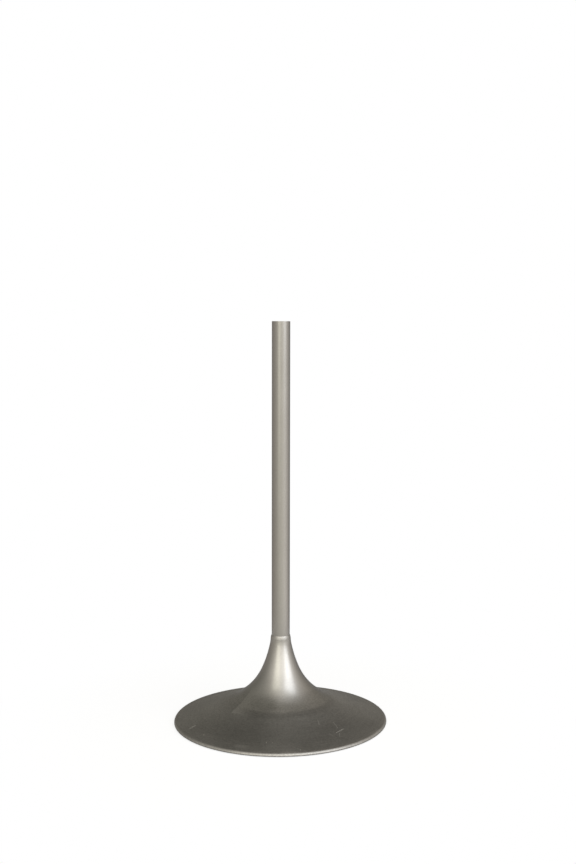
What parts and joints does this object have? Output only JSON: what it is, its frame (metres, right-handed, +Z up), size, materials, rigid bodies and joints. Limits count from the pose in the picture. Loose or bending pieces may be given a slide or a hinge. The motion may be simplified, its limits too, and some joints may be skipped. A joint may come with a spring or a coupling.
{
  "type": "trumpet table base",
  "caption": "Slim round stem on a weighted, spun trumpet foot with a rolled rim, for a small round table top.",
  "frame": {"origin": "on the stem's axis, at the floor under the rubber ring", "axes": "+Z up along the stem's axis; X and Y are free because the base is round"},
  "size_m": [0.3, 0.3, 0.564],
  "materials": {
    "trumpet_foot": "satin, brushed round the axis",
    "stem_tube": "satin, brushed",
    "top_bush": "turned, bright",
    "stem_plug": "turned, bright",
    "ballast_weight": "as cast, painted black",
    "bottom_plate": "black primer",
    "floor_ring": "matt",
    "clamp_bolt": "zinc plated",
    "flat_washer": "zinc plated",
    "spring_washer": "plain spring steel"
  },
  "bodies": {
    "root": {"trumpet_foot": "trumpet_foot", "stem_tube": "stem_tube", "top_bush": "top_bush", "stem_plug": "stem_plug", "ballast_weight": "ballast_weight", "bottom_plate": "bottom_plate", "floor_ring": "floor_ring", "clamp_bolt": "clamp_bolt", "flat_washer": "flat_washer", "spring_washer": "spring_washer"}
  },
  "joints": []
}
